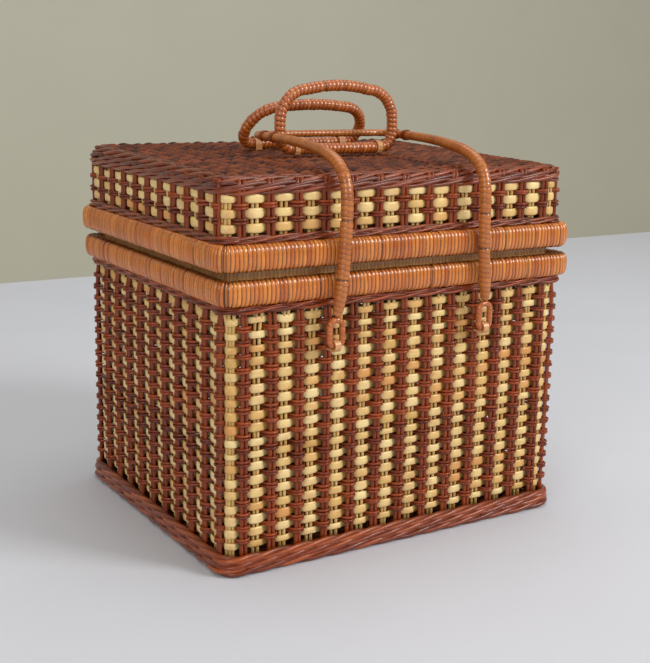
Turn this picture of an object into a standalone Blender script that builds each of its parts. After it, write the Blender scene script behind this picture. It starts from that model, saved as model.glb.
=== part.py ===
"""Lidded wicker sewing basket: woven box, cane-wrapped rims, hinged lid, a
U-shaped bail hooked to the front wall and two closed grip rings.

Frame: metres, +Z up, front is -Y, +X to the right seen from the front.
Origin: centre of the footprint, on the plane the foot braid rests on.
Dimensions below are in millimetres; place() turns them into metres.
"""
import math
from collections import namedtuple

import bmesh
import bpy
from mathutils import Matrix, Vector

MM = 0.001

# A rectangle with round corners, seen from above and centred on y = 0
Outline = namedtuple("Outline", "x half_x half_y radius")

# ----------------------------------------------------------------- dimensions
BODY_X = 1.0            # centre of the body across its width
LID_X = -1.0            # the lid sits a little to the left of the body
GRIP_X = -1.5           # centre of the bail and of both grip rings
FIT = 0.3               # gap between neighbouring pieces
PANEL_GAP = 0.4         # gap round the base panel and the lid's top panel

# Outer outlines of the rings and walls
WALL_R = 14.0
FOOT = Outline(BODY_X, 170.0, 142.0, 18.0)
BODY_WALL = Outline(BODY_X, 167.0, 138.0, WALL_R)
BODY_WALING = Outline(BODY_X, 168.8, 139.8, 15.0)
BODY_RIM = Outline(BODY_X, 173.0, 143.5, 14.0)
INNER_COLLAR = Outline(BODY_X, 157.5, 130.2, 10.0)
LID_RIM = BODY_RIM._replace(x=LID_X)
LID_WALING = Outline(LID_X, 168.5, 137.3, 15.0)
LID_WALL = Outline(LID_X, 167.0, 135.5, WALL_R)
LID_BORDER = Outline(LID_X, 167.8, 136.2, 15.0)

# Thicknesses, from the outline inwards
FOOT_T = 9.0
WALL_T = 5.0
WALING_T = 6.5
RIM_T = 12.0
COLLAR_T = 3.0
BORDER_T = 15.0

# Heights, from the foot up
FOOT_TOP = 17.0
BASE_Z0, BASE_Z1 = 4.0, 9.5
WALL_TOP = 208.7
COLLAR_Z0, COLLAR_Z1 = 206.0, 246.0
RIM_Z0, RIM_Z1 = 215.0, 235.0
LID_RIM_Z0, LID_RIM_Z1 = 240.5, 261.5
LID_WALL_Z0, LID_WALL_Z1 = 267.0, 298.7
BORDER_Z0, BORDER_Z1 = LID_WALL_Z1 + FIT, 313.3
LID_TOP_Z = 315.0       # top of the lid's panel at mid depth
TOP_SLOPE = 0.0222      # rise of the lid's top per unit of y, towards the back

# Joint axes, all running along x
HINGE_Y, HINGE_Z = 149.5, (RIM_Z1 + LID_RIM_Z0) / 2
BAIL_Y, BAIL_Z = -148.0, 179.0
FRONT_GRIP_Y, FRONT_GRIP_Z = -28.0, 331.5
REAR_GRIP_Y, REAR_GRIP_Z = 38.0, 321.6

HINGE_HALF_SPAN = 92.0
BAIL_HALF_SPAN = 73.4   # centre of the bail to each of its eyes
GRIP_R = 4.9            # radius of the bar of both grip rings

SIDES = (("left", -1), ("right", 1))

# -------------------------------------------------------------------- colours
CREAM_AND_DARK = (0.48, 0.25, 0.12)
DARK = (0.13, 0.035, 0.02)
REDDISH = (0.25, 0.06, 0.025)
HONEY = (0.58, 0.22, 0.07)
TAN = (0.62, 0.36, 0.14)
ROUGHNESS = 0.5
SMOOTH_ANGLE = math.radians(35)     # edges sharper than this stay hard


# ---------------------------------------------------------- objects and joints
def clear_scene():
    for old in list(bpy.data.objects):
        bpy.data.objects.remove(old, do_unlink=True)


def material(name, colour):
    mat = bpy.data.materials.new(name)
    mat.use_nodes = True
    shader = mat.node_tree.nodes["Principled BSDF"]
    shader.inputs["Base Color"].default_value = (*colour, 1.0)
    shader.inputs["Roughness"].default_value = ROUGHNESS
    shader.inputs["Metallic"].default_value = 0.0
    mat.diffuse_color = (*colour, 1.0)
    return mat


def pivot(name, location, parent=None):
    """Empty on a joint's axis; the pieces that turn with it are its children."""
    empty = bpy.data.objects.new(name, None)
    bpy.context.scene.collection.objects.link(empty)
    here = Vector(location) * MM
    empty["world"] = tuple(here)
    if parent:
        empty.parent = parent
        here = here - Vector(parent["world"])
    empty.location = here
    return empty


def place(name, solid, parent, colour, smooth=True):
    """Turns a bmesh in world millimetres into a named object under its pivot."""
    bmesh.ops.recalc_face_normals(solid, faces=solid.faces)
    solid.transform(Matrix.Scale(MM, 4))
    solid.transform(Matrix.Translation(-Vector(parent["world"])))
    mesh = bpy.data.meshes.new(name)
    solid.to_mesh(mesh)
    solid.free()
    mesh.materials.append(material(name, colour))
    if smooth:
        mesh.shade_smooth()
        mesh.set_sharp_from_angle(angle=SMOOTH_ANGLE)
    obj = bpy.data.objects.new(name, mesh)
    bpy.context.scene.collection.objects.link(obj)
    obj.parent = parent


# ---------------------------------------------------------------- shape tools
def loft(rings, closed=False, shift=0):
    """Skin over rings of points. The ends are capped, or if closed the last ring
    meets the first, whose points are taken shift places further on."""
    solid = bmesh.new()
    loops = [[solid.verts.new(point) for point in ring] for ring in rings]
    count = len(loops[0])

    def join(lower, upper, turn=0):
        for i in range(count):
            j = (i + 1) % count
            solid.faces.new((lower[i], lower[j],
                             upper[(j + turn) % count], upper[(i + turn) % count]))

    for lower, upper in zip(loops, loops[1:]):
        join(lower, upper)
    if closed:
        join(loops[-1], loops[0], shift)
    else:
        solid.faces.new(loops[0][::-1])
        solid.faces.new(loops[-1])
    return solid


def arc(x, y, radius, start, steps):
    """Quarter turn of points, anticlockwise from start degrees."""
    angles = [math.radians(start + 90.0 * k / steps) for k in range(steps + 1)]
    return [(x + radius * math.cos(a), y + radius * math.sin(a)) for a in angles]


def rounded_rect(outline, inset=0.0, steps=5):
    """Points round an outline, moved in by inset."""
    radius = max(outline.radius - inset, 1.0)
    centre_x = outline.half_x - inset - radius
    centre_y = outline.half_y - inset - radius
    points = []
    for sx, sy, start in ((1, -1, -90), (1, 1, 0), (-1, 1, 90), (-1, -1, 180)):
        points += arc(outline.x + sx * centre_x, sy * centre_y, radius, start, steps)
    return points


def band(outline, section, slope=None):
    """Closed ring: a section of (inset, z) points carried round the outline.
    slope(z), if given, is the rise per unit of y of a point at height z."""
    rings = []
    for inset, z in section:
        rise = slope(z) if slope else 0.0
        rings.append([(x, y, z + rise * y) for x, y in rounded_rect(outline, inset)])
    return loft(rings, closed=True)


def prism(points, z0, z1):
    """Flat outline pulled up from z0 to z1."""
    solid = bmesh.new()
    face = solid.faces.new([solid.verts.new((x, y, z0)) for x, y in points])
    made = bmesh.ops.extrude_face_region(solid, geom=[face])
    moved = [v for v in made["geom"] if isinstance(v, bmesh.types.BMVert)]
    bmesh.ops.translate(solid, verts=moved, vec=(0, 0, z1 - z0))
    return solid


def slab(x0, x1, y0, y1, z0, z1):
    return prism([(x0, y0), (x1, y0), (x1, y1), (x0, y1)], z0, z1)


def tube(points, radii, sides=8, closed=False):
    """Round bar swept along points, with its own radius at each point."""
    points = [Vector(p) for p in points]
    count = len(points)
    normal = None
    rings = []
    for i, point in enumerate(points):
        before = points[i - 1] if (i or closed) else point
        after = points[(i + 1) % count] if (i < count - 1 or closed) else point
        tangent = (after - before).normalized()
        if normal is None:
            normal = tangent.orthogonal().normalized()
        normal = (normal - tangent * normal.dot(tangent)).normalized()
        across = tangent.cross(normal)
        angles = [2 * math.pi * k / sides for k in range(sides)]
        rings.append([point + (normal * math.cos(a) + across * math.sin(a)) * radii[i]
                      for a in angles])
    shift = 0
    if closed:
        # the last ring meets the first where their points lie nearest
        shift = min(range(sides), key=lambda k: (rings[-1][0] - rings[0][k]).length)
    return loft(rings, closed, shift)


def strap(line, thick, x0, x1):
    """Flat strap: a line of (y, z) points given a thickness, x0 to x1 wide."""
    rows = []
    for i, point in enumerate(line):
        before = Vector(line[max(i - 1, 0)])
        after = Vector(line[min(i + 1, len(line) - 1)])
        along = (after - before).normalized()
        offset = Vector((-along.y, along.x)) * (thick / 2)
        one, other = Vector(point) + offset, Vector(point) - offset
        rows.append([(x, edge.x, edge.y)
                     for edge, x in ((one, x0), (one, x1), (other, x1), (other, x0))])
    return loft(rows)


def sleeve(centre, axis, inner_r, outer_r, length, sides=12):
    """Short sleeve round a bar."""
    centre, axis = Vector(centre), Vector(axis).normalized()
    across = axis.orthogonal().normalized()
    up = axis.cross(across)
    angles = [2 * math.pi * k / sides for k in range(sides)]
    rings = []
    for radius, end in ((inner_r, -0.5), (outer_r, -0.5), (outer_r, 0.5), (inner_r, 0.5)):
        rings.append([centre + axis * (end * length)
                      + (across * math.cos(a) + up * math.sin(a)) * radius
                      for a in angles])
    return loft(rings, closed=True)


def racetrack(half_width, low, high, low_r, high_r, steps, crown=0.0):
    """Closed upright loop in (x, up): straight sides, round corners, bowed top."""
    low_x, low_up = half_width - low_r, low + low_r
    high_x, high_up = half_width - high_r, high - high_r
    points = arc(low_x, low_up, low_r, -90, steps)
    points += arc(high_x, high_up, high_r, 0, steps)
    if crown:
        for k in range(1, 8):
            x = high_x * (1.0 - k / 4.0)
            points.append((x, high + crown * (1.0 - (x / high_x) ** 2)))
    points += arc(-high_x, high_up, high_r, 90, steps)
    points += arc(-low_x, low_up, low_r, 180, steps)
    return points


# --------------------------------------------- pieces shared by body and lid
def rim(outline, z0, z1, chamfer=3.0):
    """Rim bar with its four long edges cut off."""
    c, t = chamfer, RIM_T
    return band(outline, [(c, z0), (0, z0 + c), (0, z1 - c), (c, z1),
                          (t - c, z1), (t, z1 - c), (t, z0 + c), (t - c, z0)])


def waling(outline, z0, z1, top_ease):
    """Thin band between wall and rim; top_ease is the height of its upper bevel."""
    return band(outline, [(0.8, z0), (0.0, z0 + 1.5), (0.0, z1 - top_ease), (0.8, z1),
                          (WALING_T, z1), (WALING_T, z0)])


def corner_post(outline, sx, sy, z0, z1, steps=5):
    """Quarter-round post between two wall panels."""
    centre_x = outline.x + sx * (outline.half_x - outline.radius)
    centre_y = sy * (outline.half_y - outline.radius)

    def face(radius):
        return [(centre_x + sx * x, centre_y + sy * y)
                for x, y in arc(0.0, 0.0, radius, 0, steps)]

    return prism(face(outline.radius) + face(outline.radius - WALL_T)[::-1], z0, z1)


def build_walls(prefix, parent, outline, z0, z1):
    """Four flat panels and four corner posts."""
    left, right = outline.x - outline.half_x, outline.x + outline.half_x
    front, back = -outline.half_y, outline.half_y
    reach = outline.radius + FIT        # panels stop this far from the outline's ends
    panels = {
        "front": (left + reach, right - reach, front, front + WALL_T),
        "back": (left + reach, right - reach, back - WALL_T, back),
        "left": (left, left + WALL_T, front + reach, back - reach),
        "right": (right - WALL_T, right, front + reach, back - reach),
    }
    for tag, sizes in panels.items():
        place(prefix + "wall_" + tag, slab(*sizes, z0, z1), parent, CREAM_AND_DARK,
              smooth=False)
    for depth, sy in (("front", -1), ("back", 1)):
        for side, sx in SIDES:
            place(f"{prefix}corner_post_{depth}_{side}",
                  corner_post(outline, sx, sy, z0, z1), parent, CREAM_AND_DARK)


# ----------------------------------------------------------------------- body
def build_body():
    place("foot_braid",
          band(FOOT, [(1.0, 0.0), (0.0, 2.5), (0.0, 13.0), (2.0, FOOT_TOP),
                      (8.0, FOOT_TOP), (FOOT_T, 15.0), (FOOT_T, 0.0)]),
          BODY, REDDISH)
    place("base_panel", prism(rounded_rect(FOOT, FOOT_T + PANEL_GAP), BASE_Z0, BASE_Z1),
          BODY, DARK, smooth=False)
    build_walls("", BODY, BODY_WALL, FOOT_TOP + FIT, WALL_TOP)
    place("body_waling", waling(BODY_WALING, WALL_TOP + FIT, RIM_Z0 - FIT, top_ease=1.7),
          BODY, DARK)
    place("body_rim", rim(BODY_RIM, RIM_Z0, RIM_Z1), BODY, HONEY)
    place("inner_collar",
          band(INNER_COLLAR, [(0.0, COLLAR_Z0), (0.0, COLLAR_Z1),
                              (COLLAR_T, COLLAR_Z1), (COLLAR_T, COLLAR_Z0)]),
          BODY, TAN)


def build_bail_staples():
    """Straps on the front wall, each bent round the bail's axis."""
    bend_r, thick, half_width = 3.9, 1.4, 2.6
    straight_y = BAIL_Y + 3.0
    wall_y = -BODY_WALL.half_y - FIT
    top, bottom = BAIL_Z + bend_r, BAIL_Z - bend_r
    line = [(wall_y, top), (straight_y, top)]
    for k in range(9):
        angle = math.radians(90.0 + 180.0 * k / 8)
        line.append((BAIL_Y + bend_r * math.cos(angle), BAIL_Z + bend_r * math.sin(angle)))
    line += [(straight_y, bottom), (wall_y, bottom)]
    for tag, sign in SIDES:
        x = GRIP_X + sign * BAIL_HALF_SPAN
        place("bail_staple_" + tag, strap(line, thick, x - half_width, x + half_width),
              BODY, TAN)


# ----------------------------------------------------------------- lid hinges
def hinge_line(end_z, bend_z, turn):
    """Straight tail, then 290 degrees round the hinge axis; turn is +1 or -1."""
    loop_r = 4.9
    line = [(HINGE_Y - loop_r, end_z), (HINGE_Y - loop_r, bend_z)]
    for k in range(11):
        angle = math.radians(180 + turn * 29 * k)
        line.append((HINGE_Y + loop_r * math.cos(angle), HINGE_Z + loop_r * math.sin(angle)))
    return line


def build_hinges():
    """Each rod passes through two loops from the body and one from the lid."""
    rod_r, rod_half = 3.6, 18.0
    thick = 1.4
    upper_half = 5.4                # half width of the middle loop
    lower_near, lower_far = 6.0, 15.0   # edges of the outer loops, from mid rod
    lower = hinge_line(219.0, 228.0, turn=-1)
    upper = hinge_line(257.0, 247.0, turn=1)
    for tag, sign in SIDES:
        x = BODY_X + sign * HINGE_HALF_SPAN
        rod = [(x - rod_half, HINGE_Y, HINGE_Z), (x + rod_half, HINGE_Y, HINGE_Z)]
        place("hinge_rod_" + tag, tube(rod, [rod_r] * 2, sides=12), BODY, DARK)
        for where, way in (("outer", sign), ("inner", -sign)):
            edges = sorted((x + way * lower_near, x + way * lower_far))
            place(f"hinge_loop_lower_{where}_{tag}", strap(lower, thick, *edges), BODY, HONEY)
        place("hinge_loop_upper_" + tag, strap(upper, thick, x - upper_half, x + upper_half),
              LID, HONEY)


# ------------------------------------------------------------------------ lid
def border_slope(z):
    """None of the lid's slope at the border's foot, all of it at its top."""
    share = (z - BORDER_Z0) / (BORDER_Z1 - BORDER_Z0)
    return TOP_SLOPE * min(max(share, 0.0), 1.0)


def lid_top_panel():
    """Panel inside the border, bevelled at its edge and rising to the back."""
    outline = Outline(LID_X, LID_BORDER.half_x - BORDER_T - PANEL_GAP,
                      LID_BORDER.half_y - BORDER_T - PANEL_GAP, 3.0)
    section = [(0.0, 308.0), (0.0, 313.5), (10.0, LID_TOP_Z)]   # inset, z
    return loft([[(x, y, z + TOP_SLOPE * y) for x, y in rounded_rect(outline, inset, steps=2)]
                 for inset, z in section])


def build_lid():
    place("lid_rim", rim(LID_RIM, LID_RIM_Z0, LID_RIM_Z1), LID, HONEY)
    place("lid_waling",
          waling(LID_WALING, LID_RIM_Z1 + FIT, LID_WALL_Z0 - FIT, top_ease=1.3),
          LID, DARK)
    build_walls("lid_", LID, LID_WALL, LID_WALL_Z0, LID_WALL_Z1)
    place("lid_top_border",
          band(LID_BORDER,
               [(0.5, BORDER_Z0), (0.0, 300.5), (0.0, 305.5), (1.5, 309.5), (4.5, 312.2),
                (9.0, BORDER_Z1), (BORDER_T, BORDER_Z1), (BORDER_T, BORDER_Z0)],
               slope=border_slope),
          LID, REDDISH)
    place("lid_top_panel", lid_top_panel(), LID, DARK)


# ------------------------------------------------- rear grip, hinged on the lid
def build_rear_grip():
    lean = math.radians(126.0)      # 0 is flat towards the back; past 90 leans forward
    loop = racetrack(half_width=59.5, low=0.0, high=41.0, low_r=12.0, high_r=28.0,
                     steps=6, crown=2.5)
    path = [(GRIP_X + x, REAR_GRIP_Y + up * math.cos(lean), REAR_GRIP_Z + up * math.sin(lean))
            for x, up in loop]
    place("rear_grip_ring", tube(path, [GRIP_R] * len(path), closed=True),
          REAR_GRIP, HONEY)

    # clips arching over the ring's lower bar
    clip_r, thick, half_width, spacing = 6.2, 1.1, 3.0, 44.0
    foot_z = LID_TOP_Z + TOP_SLOPE * REAR_GRIP_Y + 0.45
    line = [(REAR_GRIP_Y - clip_r, foot_z)]
    for degrees in range(0, 181, 20):
        angle = math.radians(degrees)
        line.append((REAR_GRIP_Y - clip_r * math.cos(angle),
                     REAR_GRIP_Z + clip_r * math.sin(angle)))
    line.append((REAR_GRIP_Y + clip_r, foot_z))
    for tag, step in (("left", -1), ("centre", 0), ("right", 1)):
        x = GRIP_X + step * spacing
        place("rear_grip_clip_" + tag, strap(line, thick, x - half_width, x + half_width),
              LID, TAN)


# ----------------------------------------------------------------------- bail
BAIL_LEG = [  # half span, y, z, bar radius: up one leg and over the lid to the crossbar
    (73.2, -148.0, 202.4, 3.4), (72.2, -149.0, 209.0, 4.4), (71.2, -149.8, 217.0, 5.0),
    (69.6, -150.0, 232.0, 5.0), (68.4, -150.0, 247.0, 5.0), (67.6, -150.0, 265.0, 5.0),
    (67.1, -150.0, 285.0, 5.0), (67.0, -149.3, 296.0, 5.0), (67.0, -147.0, 305.0, 4.9),
    (67.0, -142.0, 313.0, 4.8), (67.0, -134.0, 319.3, 4.7), (67.0, -122.0, 324.0, 4.6),
    (67.0, -100.0, 328.0, 4.4), (67.0, -78.0, 330.3, 4.1), (67.0, -54.0, 331.5, 3.9),
    (67.0, -28.0, 332.0, 3.6), (67.0, -12.0, 332.0, 3.4), (65.0, -4.5, 332.0, 3.2),
    (60.0, -0.8, 332.0, 3.1), (52.0, 0.0, 332.0, 3.1)]


def build_bail_frame():
    left = [(GRIP_X - half, y, z) for half, y, z, _ in BAIL_LEG]
    right = [(GRIP_X + half, y, z) for half, y, z, _ in reversed(BAIL_LEG)]
    radii = [radius for *_, radius in BAIL_LEG]
    place("bail_frame", tube(left + right, radii + radii[::-1]), BAIL, HONEY)


def build_bail_fittings():
    """Eyes at the foot of the legs and lashings where the front grip sits."""
    eye_bar_r = 2.5
    eye = racetrack(half_width=5.7, low=0.0, high=20.4, low_r=4.4, high_r=5.0, steps=3)
    lashing_half_span, lashing_z, lashing_offset = 67.0, 331.95, 8.5
    for tag, sign in SIDES:
        eye_x = GRIP_X + sign * BAIL_HALF_SPAN
        path = [(eye_x + x, BAIL_Y, BAIL_Z + up) for x, up in eye]
        place("bail_eye_" + tag, tube(path, [eye_bar_r] * len(path), sides=6, closed=True),
              BAIL, HONEY)
        for end, way in (("front", -1), ("back", 1)):
            centre = (GRIP_X + sign * lashing_half_span,
                      FRONT_GRIP_Y + way * lashing_offset, lashing_z)
            place(f"grip_lashing_{tag}_{end}",
                  sleeve(centre, axis=(0, 1, 0), inner_r=4.1, outer_r=4.75, length=4.0),
                  BAIL, DARK)


# ----------------------------------------------- front grip, hinged on the bail
def build_front_grip():
    low_bar_z = 321.2
    binding_half_span = 42.0
    loop = racetrack(half_width=57.0, low=low_bar_z, high=371.0, low_r=12.0, high_r=26.0,
                     steps=6, crown=3.4)
    path = [(GRIP_X + x, FRONT_GRIP_Y, z) for x, z in loop]
    place("front_grip_ring", tube(path, [GRIP_R] * len(path), closed=True),
          FRONT_GRIP, HONEY)
    for tag, sign in SIDES:
        centre = (GRIP_X + sign * binding_half_span, FRONT_GRIP_Y, low_bar_z)
        place("front_grip_binding_" + tag,
              sleeve(centre, axis=(1, 0, 0), inner_r=5.4, outer_r=6.2, length=5.0),
              FRONT_GRIP, TAN)


# ---------------------------------------------------------------------- build
clear_scene()

BODY = pivot("body_frame", (0, 0, 0))
LID = pivot("lid_axis", (LID_X, HINGE_Y, HINGE_Z), BODY)
BAIL = pivot("bail_axis", (GRIP_X, BAIL_Y, BAIL_Z), BODY)
FRONT_GRIP = pivot("front_grip_axis", (GRIP_X, FRONT_GRIP_Y, FRONT_GRIP_Z), BAIL)
REAR_GRIP = pivot("rear_grip_axis", (GRIP_X, REAR_GRIP_Y, REAR_GRIP_Z), LID)

build_body()
build_bail_staples()
build_hinges()
build_lid()
build_rear_grip()
build_bail_frame()
build_bail_fittings()
build_front_grip()
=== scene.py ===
"""Wicker sewing basket: woven body, woven lid, bail and two grip rings.

The basket stands on z = 0 with its width along X and its front towards -Y. Every stake, weaver,
wrap and rope strand is its own swept shape. Shapes are worked out in millimetres and scaled to
metres as each mesh is made; the stage, lights and camera are in metres.
"""
import math

import bpy
import numpy as np
from mathutils import Matrix, Vector


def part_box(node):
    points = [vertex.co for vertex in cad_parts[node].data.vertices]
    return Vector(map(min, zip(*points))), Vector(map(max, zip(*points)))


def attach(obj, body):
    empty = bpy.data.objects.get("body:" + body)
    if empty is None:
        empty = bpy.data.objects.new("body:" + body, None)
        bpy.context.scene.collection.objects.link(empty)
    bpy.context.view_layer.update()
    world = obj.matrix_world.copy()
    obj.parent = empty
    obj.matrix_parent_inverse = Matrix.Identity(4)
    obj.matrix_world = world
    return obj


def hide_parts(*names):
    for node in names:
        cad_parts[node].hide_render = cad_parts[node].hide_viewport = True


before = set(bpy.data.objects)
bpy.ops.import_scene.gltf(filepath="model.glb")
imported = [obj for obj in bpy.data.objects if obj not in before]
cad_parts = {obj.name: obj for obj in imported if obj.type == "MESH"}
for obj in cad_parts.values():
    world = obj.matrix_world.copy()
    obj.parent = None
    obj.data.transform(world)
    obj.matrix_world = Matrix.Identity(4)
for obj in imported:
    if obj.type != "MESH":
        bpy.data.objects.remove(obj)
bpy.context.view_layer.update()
MM = 0.001
UP = np.array([0, 0, 1.0])
RNG = np.random.default_rng(20240611)


def node_box(name):
    """Low and high corners of a CAD node, in mm."""
    low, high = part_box(name)
    return np.array(low) / MM, np.array(high) / MM


# ------------------------------------------------------------------ materials
class Shader:
    """Builds a material's node tree round its Principled shader."""

    def __init__(self, name):
        self.material = bpy.data.materials.new(name)
        self.material.use_nodes = True
        self.tree = self.material.node_tree
        self.principled = self.tree.nodes["Principled BSDF"]

    def new(self, kind, **settings):
        node = self.tree.nodes.new(kind)
        for key, value in settings.items():
            setattr(node, key, value)
        return node

    def feed(self, node, inputs):
        """Links each named or numbered input to a socket, or sets its value."""
        for key, value in inputs.items():
            if hasattr(value, "links"):
                self.tree.links.new(value, node.inputs[key])
            else:
                node.inputs[key].default_value = value

    def surface(self, inputs):
        self.feed(self.principled, inputs)

    def attribute(self, name):
        return self.new("ShaderNodeAttribute", attribute_name=name)

    def place(self):
        return self.new("ShaderNodeTexCoord").outputs["Object"]

    def math(self, operation, first, second):
        node = self.new("ShaderNodeMath", operation=operation)
        self.feed(node, {0: first, 1: second})
        return node.outputs[0]

    def scaled(self, value, factor):
        return self.math("MULTIPLY", value, factor)

    def vector(self, x, y, z):
        node = self.new("ShaderNodeCombineXYZ")
        self.feed(node, {0: x, 1: y, 2: z})
        return node.outputs[0]

    def noise(self, vector, scale, detail=2.0, rough=0.5):
        node = self.new("ShaderNodeTexNoise")
        self.feed(node, {"Scale": scale, "Detail": detail, "Roughness": rough, "Vector": vector})
        return node.outputs["Fac"]

    def ramp(self, factor, colours):
        """Colour ramp with its colours evenly spaced."""
        node = self.new("ShaderNodeValToRGB")
        stops = node.color_ramp.elements
        while len(stops) < len(colours):
            stops.new(0.5)
        for i, (stop, colour) in enumerate(zip(stops, colours)):
            stop.position = i / (len(colours) - 1)
            stop.color = colour
        self.feed(node, {0: factor})
        return node.outputs[0]

    def remap(self, value, span, to):
        node = self.new("ShaderNodeMapRange")
        self.feed(node, {1: span[0], 2: span[1], 3: to[0], 4: to[1], 0: value})
        return node.outputs[0]

    def mix(self, factor, first, second, mode="MIX"):
        node = self.new("ShaderNodeMix", data_type="RGBA", blend_type=mode, clamp_factor=True)
        self.feed(node, {0: factor, 6: first, 7: second})
        return node.outputs[2]

    def bump(self, height, strength, distance):
        node = self.new("ShaderNodeBump")
        self.feed(node, {"Strength": strength, "Distance": distance, "Height": height})
        self.surface({"Normal": node.outputs[0]})


def srgb(*levels):
    """Display colour 0-255 to linear RGBA."""
    return (*(((v / 255 + 0.055) / 1.055) ** 2.4 if v > 10 else v / 255 / 12.92
              for v in levels), 1.0)


def cane(name, tints, stain, *, rough, coat, grain, blotch, blotch_scale=70.0,
         dark=(28, 12, 8), shine=0.5):
    """Lacquered cane: a tint for each strand, with stain in its fibres and in patches.

    grain and blotch are the strength of the stain in fibres and patches, dark is the colour of
    the painted shade that the shade attribute mixes in at gaps, grooves and recesses, and shine
    the specular level."""
    shader = Shader(name)
    strand = shader.new("ShaderNodeSeparateXYZ")
    shader.feed(strand, {0: shader.attribute("st").outputs["Vector"]})
    along, around, tint = strand.outputs
    shade = shader.attribute("shade").outputs["Fac"]
    place = shader.place()
    stain = srgb(*stain)
    colour = shader.ramp(tint, [srgb(*c) for c in tints])
    # long thin fibres, different on each strand
    fibre_at = shader.vector(shader.scaled(along, 0.06), shader.scaled(around, 16.0),
                             shader.scaled(tint, 91.0))
    fibre = shader.noise(fibre_at, scale=1.0, detail=3.0, rough=0.6)
    colour = shader.mix(shader.remap(fibre, span=(0.35, 0.72), to=(0.0, grain)), colour, stain)
    patch = shader.noise(place, scale=blotch_scale, detail=3.0, rough=0.55)
    colour = shader.mix(shader.remap(patch, span=(0.48, 0.72), to=(0.0, blotch)), colour, stain)
    # slow change of tone along the strand
    slow_at = shader.vector(shader.scaled(along, 0.02), tint, shader.scaled(tint, 57.0))
    slow = shader.noise(slow_at, scale=1.0, detail=1.0)
    toned = shader.mix(1.0, colour, srgb(225, 190, 160), "MULTIPLY")
    colour = shader.mix(shader.remap(slow, span=(0.3, 0.7), to=(0.0, 0.30)), colour, toned)
    # painted shade: where the shade attribute is low, the colour goes towards dark
    gap = shader.remap(shade, span=(0.0, 1.0), to=(1.0, 0.0))
    colour = shader.mix(gap, colour, srgb(*dark))
    worn = shader.noise(place, scale=240.0)
    shader.surface({
        "Base Color": colour,
        "Roughness": shader.remap(worn, span=(0.3, 0.7), to=(rough - 0.07, rough + 0.12)),
        "Coat Weight": coat, "Coat Roughness": 0.18, "Specular IOR Level": shine})
    shader.bump(shader.math("ADD", fibre, shader.scaled(worn, 0.4)),
                strength=0.15, distance=0.0006)
    return shader.material


CREAM = cane(
    "cream_weaver",
    [(212, 176, 100), (238, 212, 142), (246, 228, 168), (230, 198, 124), (220, 164, 92)],
    stain=(190, 120, 58), rough=0.42, coat=0.30, grain=0.30, blotch=0.42)
CREAM_STAKE = cane(
    "cream_stake", [(200, 165, 92), (228, 200, 130), (214, 180, 105)],
    stain=(160, 98, 50), rough=0.45, coat=0.20, grain=0.35, blotch=0.5)
DARK = cane(
    "dark_weaver", [(126, 50, 18), (168, 76, 28), (142, 60, 22), (104, 38, 14)],
    stain=(66, 24, 8), rough=0.30, coat=0.16, grain=0.35, blotch=0.35, dark=(24, 9, 4),
    shine=0.32)
DARK_STAKE = cane(
    "dark_stake", [(116, 48, 18), (150, 68, 26), (130, 56, 22)],
    stain=(60, 22, 8), rough=0.28, coat=0.18, grain=0.30, blotch=0.25, dark=(24, 9, 4),
    shine=0.34)
ROPE = cane(
    "reddish_rope", [(140, 60, 26), (178, 88, 42), (156, 72, 34), (118, 48, 24)],
    stain=(74, 28, 12), rough=0.28, coat=0.28, grain=0.45, blotch=0.35, dark=(26, 10, 4),
    shine=0.38)
BORDER = cane(
    "border_strand", [(124, 54, 28), (164, 82, 46), (142, 66, 36), (104, 44, 26)],
    stain=(64, 26, 10), rough=0.28, coat=0.22, grain=0.40, blotch=0.30, dark=(22, 9, 4),
    shine=0.36)
TOP = cane(
    "lid_top_strand", [(88, 38, 18), (136, 70, 34), (106, 50, 24), (66, 28, 14)],
    stain=(40, 17, 8), rough=0.45, coat=0.0, grain=0.35, blotch=0.45, dark=(10, 4, 2),
    shine=0.22)
RIM = cane(
    "rim_wrap",
    [(190, 100, 30), (218, 132, 48), (204, 114, 38), (228, 146, 58), (176, 90, 28)],
    stain=(150, 74, 20), rough=0.22, coat=0.50, grain=0.25, blotch=0.30, blotch_scale=38.0,
    dark=(56, 22, 6))
COLLAR = cane(
    "collar_wrap", [(206, 150, 92), (226, 176, 116), (214, 160, 100)],
    stain=(150, 92, 48), rough=0.38, coat=0.30, grain=0.25, blotch=0.3, dark=(60, 30, 14))
GRIP = cane(
    "grip_wrap", [(172, 88, 34), (202, 114, 48), (186, 98, 40), (212, 126, 58)],
    stain=(132, 60, 22), rough=0.24, coat=0.60, grain=0.25, blotch=0.2, dark=(60, 24, 8))
BAIL_CANE = cane(
    "bail_wrap", [(170, 94, 32), (196, 116, 46), (182, 104, 38)],
    stain=(152, 78, 28), rough=0.28, coat=0.50, grain=0.30, blotch=0.40, blotch_scale=45.0,
    dark=(76, 34, 12))
PEEL = cane(
    "peel_strap", [(206, 150, 96), (222, 172, 120)],
    stain=(160, 98, 52), rough=0.24, coat=0.60, grain=0.35, blotch=0.2, dark=(70, 34, 14))


# ------------------------------------------------------------- strand builder
def signed_power(value, power):
    return np.sign(value) * np.abs(value) ** power


def smoothstep(share):
    return share * share * (3 - 2 * share)


def oval(half_out, half_side, count, power=2.0):
    """Section offsets outwards and sideways; a power above 2 squares the oval off."""
    angle = np.arange(count) * 2 * math.pi / count
    return (half_out * signed_power(np.cos(angle), 2.0 / power),
            half_side * signed_power(np.sin(angle), 2.0 / power))


def strand_attributes(mesh, strand, shade):
    """Stores what the cane shader reads: place along, place around and tint; then shade, the
    share of painted shade at each point.
    """
    data = mesh.attributes.new("st", "FLOAT_VECTOR", "POINT").data
    data.foreach_set("vector", strand.astype(np.float32).ravel())
    data = mesh.attributes.new("shade", "FLOAT", "POINT").data
    data.foreach_set("value", np.clip(shade, 0, 1).astype(np.float32))


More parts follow.
